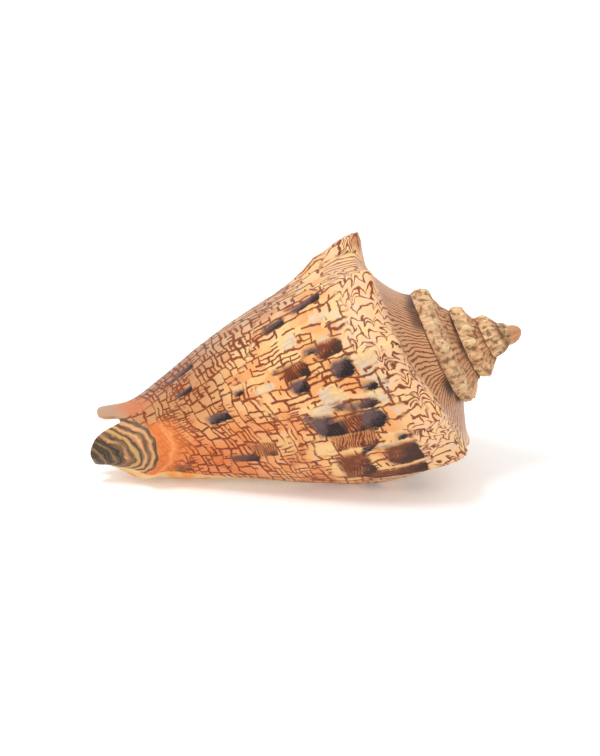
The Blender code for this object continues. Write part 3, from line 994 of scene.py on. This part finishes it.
uneven = (wide_patches - 0.5) * 12.0 + (small_patches - 0.5) * 5.0
on_flank = ramp(down_at + uneven, 8.0, 11.0)
on_spire = ramp(turns_back, 1.0, 1.04)
on_ramp = larger(ramp(down_at + uneven * 0.5, -3.5, -6.0), on_spire)
lines = shoulder_lines + (net - shoulder_lines) * on_flank
lines = lines + (ramp_lines - lines) * on_ramp
print("nodes up to all the lines:", len(tree.nodes))

# %% [markdown]
# Ground colour
# The ground is cream, and each cell of the net has its own tone. It turns orange toward the
# front end, tan above it and pinker at the shoulder, and the ramp is darker. The pale blocks
# cover the lines as well.

# %% Ground colour
CREAM = from_screen(232, 180, 116)
WARM_TAN = from_screen(222, 150, 90)
PALE_YELLOW = from_screen(231, 193, 134)
PINK_WHITE = from_screen(234, 188, 147)
GREY_WHITE = from_screen(206, 190, 166)
ORANGE = from_screen(208, 102, 44)
RAMP_TAN = from_screen(202, 150, 108)
MAUVE = from_screen(158, 128, 112)
LINE_BROWN = from_screen(82, 28, 5)
LINE_RED = from_screen(140, 56, 16)

pinkness = ramp(small_patches, 0.35, 0.7) * 0.7 + ramp(down_at + uneven, 16.0, 6.0) * 0.5
ground = blend(pinkness.math("MINIMUM", 1.0), CREAM, PINK_WHITE)
cell_warmth = cell_tone + (middle_patches - 0.5) * 2.0
off_shoulder = ramp(down_at + uneven, 6.0, 16.0)
ground = blend(ramp(cell_warmth, 0.5, 0.85) * 0.8 * off_shoulder, ground, WARM_TAN)
ground = blend(ramp(cell_warmth, 0.3, 0.05) * 0.7, ground, PALE_YELLOW)
# pale grey-white patches near the shoulder: a painted sheen
grey_sheen_share = ramp(wide_patches + (small_patches - 0.5) * 0.5, 0.62, 0.7) * ramp(down_at, 30.0, 18.0)
ground = blend(grey_sheen_share * 0.7, ground, GREY_WHITE)
orange_share = ramp(down_at + (wide_patches - 0.5) * 34.0, 22.0, 76.0)
orange_share = orange_share * ramp(across_at + (small_patches - 0.5) * 18.0, 96.0, 140.0)
ground = blend(orange_share * (middle_patches * 0.7 + 0.4), ground, ORANGE)
FRONT_TAN = from_screen(178, 123, 81)
at_front_top = ramp(down_at + (wide_patches - 0.5) * 20.0, 38.0, 62.0) * ramp(across_at, 132.0, 108.0)
ground = blend(at_front_top * 0.8, ground, FRONT_TAN)
ground = blend(ramp(down_at, -1.0, -7.0), ground, RAMP_TAN)
mauve_share = ramp(across_at + (small_patches - 0.5) * 14.0, 104.0, 84.0) * ramp(down_at, 12.0, 30.0)
ground = blend(mauve_share * 0.55, ground, MAUVE)

pale_depth = from_mesh("pale") + (small_patches - 0.5) * 1.4
pale_share = ramp(pale_depth, -0.3, 0.4)
ground = blend(pale_share * 0.75, ground, blend(ramp(middle_patches, 0.4, 0.6), PALE_YELLOW, GREY_WHITE))
lines = lines * (pale_share * -0.85 + 1.0)

# %% [markdown]
# The spire
# The oldest whorls have lost their glaze. Over the relief of the winding tree come chalky
# patches, paler knobs, brown patches, painted shade between the knobs, and painted shade in the
# sutures. The first whorl is smooth and plain.

# %% Worn spire
SPIRE_TAN = from_screen(204, 150, 106)
WORN_TAN = from_screen(228, 186, 140)
WORN_YELLOW = from_screen(240, 214, 160)
APEX_BROWN = from_screen(196, 140, 102)
# brown of the painted shade in the sutures and between the knobs, and of random brown patches
SHADE_AND_MOTTLE_BROWN = from_screen(112, 74, 50)
# near-black of the painted shadow in the sutures and in their deep gaps
SUTURE_SHADOW_DARK = from_screen(58, 38, 30)
from_suture = from_mesh("from_suture")
spire_ground = blend(ramp(small_patches, 0.3, 0.7), SPIRE_TAN, RAMP_TAN)
worn = ramp(down_at + (small_patches - 0.5) * 7.0 + (rough_patches - 0.5) * 5.0, -3.0, 0.0)
chalky = worn * ramp(middle_patches + (rough_patches - 0.5) * 0.5, 0.25, 0.5)
spire_ground = blend(chalky, spire_ground, WORN_TAN)
bead = (turns_back * (2 * math.pi * BEADS_A_TURN)).math("COSINE")
# painted shade between the knobs near the shoulder
shade_between_beads = ramp(bead + (rough_patches - 0.5) * 3.0, -0.5, -1.1)
shade_between_beads = shade_between_beads * ramp(abs(down_at - BEAD_DOWN), 4.0, 2.0)
spire_ground = blend(shade_between_beads * 0.4, spire_ground, SHADE_AND_MOTTLE_BROWN)
on_bead = ramp(bead + (small_patches - 0.5) * 3.0, 0.4, 1.0) * ramp(abs(down_at - BEAD_DOWN), 2.2, 0.8)
yellowed = larger(on_bead * 0.7, worn * ramp(rough_patches, 0.6, 0.7) * 0.6)
spire_ground = blend(yellowed, spire_ground, WORN_YELLOW)
spire_ground = blend(ramp(rough_patches, 0.46, 0.38) * 0.65, spire_ground, SHADE_AND_MOTTLE_BROWN)
spire_ground = blend(ramp(middle_patches, 0.54, 0.62) * 0.25, spire_ground, SHADE_AND_MOTTLE_BROWN)
spire_ground = blend(ramp(turns_back, 2.2, 1.7) * 0.12, spire_ground, MAUVE)
near_apex = ramp(along_at, 9.0, 5.0) * ramp(small_patches, 0.45, 0.6)
spire_ground = blend(near_apex * 0.6, spire_ground, SHADE_AND_MOTTLE_BROWN)
spire_ground = blend(ramp(along_at + (small_patches - 0.5) * 1.5, 3.2, 1.9), spire_ground, APEX_BROWN)
ground = blend(on_spire, ground, spire_ground)
lines = lines * (on_spire * (worn * 0.4 + 0.35) * -1.0 + 1.0) * ramp(along_at, 3.5, 6.5)
line_colour = blend(middle_patches, LINE_BROWN, LINE_RED)
colour = blend(lines * (grain * 0.4 + 0.75), ground, line_colour)
SPINE_TIP_AT = 0.34
on_tip = ramp(abs(turns_back - SPINE_TIP_AT), 0.016, 0.005) * ramp(abs(down_at), 3.0, 1.0)
colour = blend(on_tip * 0.6, colour, LINE_RED)
FIRST_GAP_AT, SECOND_GAP_AT = 0.465, 0.684
# painted shadow: two dark gaps in the suture at these turns back from the lip
first_gap = ramp(abs(turns_back - FIRST_GAP_AT), 0.07, 0.02)
second_gap = ramp(abs(turns_back - SECOND_GAP_AT), 0.05, 0.015)
gap_shadow = larger(first_gap, second_gap) * ramp(from_suture + (small_patches - 0.5) * 4.0, 5.0, 1.0)
colour = blend(gap_shadow * 0.8, colour, SUTURE_SHADOW_DARK)
# painted shade along every suture, weaker on the older whorls
suture_width = ramp(middle_patches + (rough_patches - 0.5) * 0.4, 0.35, 0.65) * 3.0 + 0.8
suture_shade = ramp(from_suture + (small_patches - 0.5) * 1.6, suture_width * 0.9, 0.2)
suture_shade = suture_shade * ramp(along_at, 3.0, 5.0)
suture_shade_colour = blend(ramp(middle_patches, 0.4, 0.6), SHADE_AND_MOTTLE_BROWN, SUTURE_SHADOW_DARK)
suture_strength = ramp(turns_back, 1.8, 2.4) * -0.35 + 0.95
colour = blend(suture_shade * suture_strength, colour, suture_shade_colour)

# %% [markdown]
# The dark blocks
# A block is hatched with fine threads, brown where the pigment is thin and purple-black where
# it is thick. The depth inside the block, made uneven by noise, gives it a ragged edge.

# %% Dark blocks
RED_BROWN = from_screen(114, 54, 28)
DARK_BROWN = from_screen(58, 32, 22)
BLOCK_TAN = from_screen(184, 118, 72)
PURPLE_BLACK = from_screen(28, 22, 24)
PURPLE_GREY = from_screen(98, 75, 74)
blackness_at = from_mesh("blackness")
dark_depth = from_mesh("dark") + (small_patches - 0.5) * 1.1 + (rough_patches - 0.5) * 0.8 + 0.3
shade = from_mesh("dark_share") + (grain - 0.5) * 0.5 + (small_patches - 0.5) * 0.6
THREAD = 0.9
hatch_place = (wavy_down + (middle_patches - 0.5) * 5.0) / THREAD
hatch = abs(hatch_place.fract() - 0.5) * 2.0 + (rough_patches - 0.5) * 1.2 + (small_patches - 0.5) * 1.6
hatched = blend(ramp(hatch + blackness_at * 1.6, 0.5, 1.0), BLOCK_TAN, RED_BROWN)
brown_block = blend(ramp(shade + (blackness_at - 0.5), 0.3, 0.75), hatched, DARK_BROWN)
black_block = blend(ramp(shade + (blackness_at - 0.9) * 0.6, 0.25, 0.7), PURPLE_GREY, PURPLE_BLACK)
black_block = blend(ramp(hatch, 0.6, 1.4) * 0.45, black_block, RED_BROWN)
block_colour = blend(ramp(blackness_at, 0.5, 0.7), brown_block, black_block)
edge_softness = ramp(shade, 0.8, 0.2) + 0.2
colour = blend(ramp(dark_depth, -edge_softness, edge_softness), colour, block_colour)

# %% [markdown]
# Fasciole, lip and glaze
# The stripes get uneven widths and colours from a random number for each stripe. The orange
# zone before them has fainter bands of the same shape. Under the front end a pale rim of glaze
# from the inside wraps round the outside.

# %% Fasciole stripes
STRIPE_OCHRE = from_screen(204, 158, 96)
STRIPE_TAN = from_screen(226, 164, 108)
STRIPE_DARK = from_screen(54, 50, 42)
STRIPE_BROWN = from_screen(134, 98, 70)
STRIPE_ORANGE = from_screen(218, 118, 58)
BAND_ORANGE = from_screen(232, 146, 84)
notch = from_mesh("notch")
STRIPE_PITCH, THIN_PITCH, BAND_PITCH = 3.0, 0.8, 5.0
stripe_place = notch + (small_patches - 0.5) * 2.6 + (middle_patches - 0.5) * 4.5 + (wide_patches - 0.5) * 4.0
in_stripes = (stripe_place + STRIPE_PITCH) / STRIPE_PITCH
stripe_chance = chance_of(in_stripes.floor(), 0.5, 80.0)
stripe = abs(in_stripes.fract() - 0.5) * 2.0 + (stripe_chance - 0.5) * 0.4 + (small_patches - 0.5) * 0.5
light_stripe = blend(ramp(stripe_chance + (middle_patches - 0.5), 0.3, 0.7), STRIPE_OCHRE, STRIPE_TAN)
dark_stripe = blend(ramp(stripe_chance + (small_patches - 0.5), 0.5, 0.9), STRIPE_DARK, STRIPE_BROWN)
to_tip = ramp(notch + (small_patches - 0.5) * 8.0, 7.0, 13.0)
stripe_colour = blend(ramp(stripe + to_tip * 0.55, 0.05, 0.95), light_stripe, dark_stripe)
stripe_colour = blend(to_tip * 0.4, stripe_colour, STRIPE_DARK)
thin_stripe = abs((stripe_place / THIN_PITCH + (rough_patches - 0.5) * 0.8).fract() - 0.5) * 2.0
stripe_colour = blend(ramp(thin_stripe, 0.4, 0.9) * 0.4, stripe_colour, STRIPE_BROWN)
band = abs((stripe_place / BAND_PITCH).fract() - 0.5) * 2.0
before_stripes = blend(ramp(band, 0.5, 0.9), STRIPE_ORANGE, BAND_ORANGE)
in_notch_zone = ramp(turns_back, 0.5, 0.56) * ramp(turns_back, 0.99, 0.97) * ramp(stripe_place, -12.0, -4.0)
colour = blend(in_notch_zone * 0.85, colour, before_stripes)
on_shell_front = ramp(turns_back, 0.46, 0.475) * ramp(turns_back, 0.99, 0.98)
colour = blend(ramp(stripe_place, -1.2, -0.2) * on_shell_front, colour, stripe_colour)

# %% The lip's front end, the rim of glaze and the inside
INSIDE_CREAM = from_screen(226, 172, 122)
LIP_TAN = from_screen(182, 144, 114)
LIP_ORANGE = from_screen(200, 120, 78)
RIM_CREAM = from_screen(228, 194, 140)
RIM_YELLOW = from_screen(232, 158, 70)
from_front = down_at + (small_patches - 0.5) * 4.0 + (middle_patches - 0.5) * 10.0
from_front = from_front + ramp(turns_back, 0.4, 0.3) * -5.0
on_lip = ramp(from_front, 72.0, 80.0) * ramp(turns_back, 0.475, 0.46)
lip_colour = blend(ramp(down_at, 80.0, 86.0), LIP_ORANGE, LIP_TAN)
colour = blend(on_lip * 0.95, colour, lip_colour)
rim_edge = ramp(down_at, 58.0, 100.0) * -0.1 + ramp(down_at, 62.0, 8.0) * 0.2 + 0.788
past_rim_edge = turns_back - rim_edge + (small_patches - 0.5) * 0.03
on_rim = ramp(past_rim_edge, 0.0, 0.012) * ramp(turns_back, 1.0, 0.995) * ramp(down_at, 4.0, 10.0)
rim_colour = blend(ramp(middle_patches, 0.54, 0.62), RIM_CREAM, RIM_YELLOW)
colour = blend(on_rim * 0.9, colour, rim_colour)
INSIDE_ORANGE = from_screen(206, 138, 88)
FOLD_CREAM = from_screen(240, 212, 172)
inside_colour = blend(ramp(middle_patches, 0.35, 0.7) * 0.6, INSIDE_CREAM, INSIDE_ORANGE)
inside_colour = blend(from_mesh("fold"), inside_colour, FOLD_CREAM)
colour = blend(ramp(from_mesh("inside"), 0.3, 0.7), colour, inside_colour)

# %% The glaze: shine, roughness and fine bumps
GLAZE_SHINE = 0.22
BUMP_STRENGTH, BUMP_DEPTH = 0.35, 0.0004
surface = tree.nodes["Principled BSDF"]
tree.links.new(colour.socket, surface.inputs["Base Color"])
rough = grain * 0.2 + 0.3 + on_spire * 0.25
tree.links.new(rough.socket, surface.inputs["Roughness"])
surface.inputs["Specular IOR Level"].default_value = GLAZE_SHINE
bump_height = grain * 0.5 + small_patches * (on_spire * 3.0 + 0.6)
bump = node(tree, "ShaderNodeBump", BUMP_STRENGTH, BUMP_DEPTH, None, bump_height)
tree.links.new(bump.socket, surface.inputs["Normal"])
print("shell material:", len(tree.nodes), "nodes")

# %% [markdown]
# Growing the shell
# The sheet becomes a mesh in a modifier, the tree winds it, and the result is read back as a
# plain mesh. It is then set down where the solid of the part lies.

# %% Wind the sheet into the shell
flat_mesh = bpy.data.meshes.new("flat_sheet")
scale_to_metres = np.array([1.0, MM, MM])
flat_mesh.from_pydata([tuple(p) for p in points * scale_to_metres], [], sheet.faces)
for name, values in attributes.items():
    layer = flat_mesh.attributes.new(name, "FLOAT", "POINT")
    layer.data.foreach_set("value", values.astype(np.float32))
flat_shell = bpy.data.objects.new("flat_shell", flat_mesh)
bpy.context.scene.collection.objects.link(flat_shell)

winder = flat_shell.modifiers.new("wind", "NODES")
winder.node_group = wind_shell
given_values = {name: value for name, kind, value in winding_inputs}
given_values["Material"] = shell_material
for item in wind_shell.interface.items_tree:
    if item.in_out == "INPUT" and item.name in given_values:
        winder[item.identifier] = given_values[item.name]
wound_mesh = bpy.data.meshes.new_from_object(
    flat_shell.evaluated_get(bpy.context.evaluated_depsgraph_get())
)
bpy.data.objects.remove(flat_shell)

# %% Drop unused points, turn faces outward and set the shell on the ground
body = bmesh.new()
body.from_mesh(wound_mesh)
bmesh.ops.delete(body, geom=[v for v in body.verts if not v.link_faces], context="VERTS")
bmesh.ops.recalc_face_normals(body, faces=body.faces)
body.to_mesh(wound_mesh)
body.free()
wound_mesh.name = "shell_surface"
coords = np.empty(len(wound_mesh.vertices) * 3)
wound_mesh.vertices.foreach_get("co", coords)
coords = coords.reshape(-1, 3)
low, high = coords.min(axis=0), coords.max(axis=0)
cad_low, cad_high = (np.array(corner) for corner in cad_box)
shift = (cad_low + cad_high) / 2 - (low + high) / 2
shift[2] = cad_low[2] - low[2]
wound_mesh.vertices.foreach_set("co", (coords + shift).ravel())
wound_mesh.update()
shell = bpy.data.objects.new("shell", wound_mesh)
bpy.context.scene.collection.objects.link(shell)
print("shell:", len(wound_mesh.polygons), "faces, shifted by", np.round(shift / MM, 2), "mm")
print("size:", np.round((high - low) / MM, 2), "mm; the solid's:", np.round((cad_high - cad_low) / MM, 2))

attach(shell, "root")
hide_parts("shell")

# %% [markdown]
# The light and the camera
# The shell lies on a white table in soft light. The photo looks down at about 20 degrees, square
# to the coiling axis.

# %% White table
table_mesh = bpy.data.meshes.new("table")
TABLE_HALF = 2.0
sides = ((-1, -1), (1, -1), (1, 1), (-1, 1))
table_mesh.from_pydata([(x * TABLE_HALF, y * TABLE_HALF, 0) for x, y in sides], [], [(0, 1, 2, 3)])
table = bpy.data.objects.new("table", table_mesh)
bpy.context.scene.collection.objects.link(table)
paper = bpy.data.materials.new("white_paper")
paper.use_nodes = True
paper_look = {
    "Base Color": (0.9, 0.9, 0.9, 1),
    "Roughness": 0.9,
    # the paper glows faintly warm: painted light that lifts the shadows on the table
    "Emission Color": (1.0, 0.94, 0.9, 1),
    "Emission Strength": 0.22,  # light that white paper all round would throw back
}
for name, value in paper_look.items():
    paper.node_tree.nodes["Principled BSDF"].inputs[name].default_value = value
table_mesh.materials.append(paper)

# %% Soft light and a pale room
ROOM_STRENGTH = 0.92
AIM = Vector((0, 0, 0.03))
world = bpy.data.worlds.new("pale_room")
bpy.context.scene.world = world
world.use_nodes = True
world.node_tree.nodes["Background"].inputs["Color"].default_value = (1.0, 1.0, 1.0, 1)
world.node_tree.nodes["Background"].inputs["Strength"].default_value = ROOM_STRENGTH


def soft_light(name, place, size, power):
    light = bpy.data.lights.new(name, "AREA")
    light.shape = "DISK"
    light.size = size
    light.energy = power
    lamp = bpy.data.objects.new(name, light)
    lamp.location = place
    lamp.rotation_euler = (AIM - Vector(place)).to_track_quat("-Z", "Y").to_euler()
    bpy.context.scene.collection.objects.link(lamp)


soft_light("key", (-0.3, -0.25, 0.8), 0.3, 3.2)

# %% Camera
MM_A_PIXEL = 0.294
CAMERA_RAISED_DEG = 20.0
CAMERA_FROM = 1.0
SENSOR_HIGH = 36.0
PICTURE_WIDE, PICTURE_HIGH = 600, 756
LEFT_PIXEL = 93  # the shell's left end
BOTTOM_PIXEL = 483  # its lowest point
raised = math.radians(CAMERA_RAISED_DEG)
right = np.array([1.0, 0.0, 0.0])
up = np.array([0.0, math.sin(raised), math.cos(raised)])
toward = np.array([0.0, -math.cos(raised), math.sin(raised)])
placed = coords + shift
left_edge = (placed @ right).min()
bottom_edge = (placed @ up).min()
middle_right = left_edge + (PICTURE_WIDE / 2 - LEFT_PIXEL) * MM_A_PIXEL * MM
middle_up = bottom_edge + (BOTTOM_PIXEL - PICTURE_HIGH / 2) * MM_A_PIXEL * MM
camera_at = right * middle_right + up * middle_up + toward * CAMERA_FROM

camera_data = bpy.data.cameras.new("camera")
camera_data.sensor_fit = "VERTICAL"
camera_data.sensor_height = SENSOR_HIGH
camera_data.lens = SENSOR_HIGH * CAMERA_FROM / (PICTURE_HIGH * MM_A_PIXEL * MM)
camera_data.clip_start = 0.05
camera_data.clip_end = 10.0
camera = bpy.data.objects.new("camera", camera_data)
camera.location = camera_at
camera.rotation_euler = Vector(toward).to_track_quat("Z", "Y").to_euler()
bpy.context.scene.collection.objects.link(camera)
bpy.context.scene.camera = camera
bpy.context.scene.view_settings.view_transform = "Standard"
print("camera lens", round(camera_data.lens, 1), "mm, at", np.round(camera_at, 3))
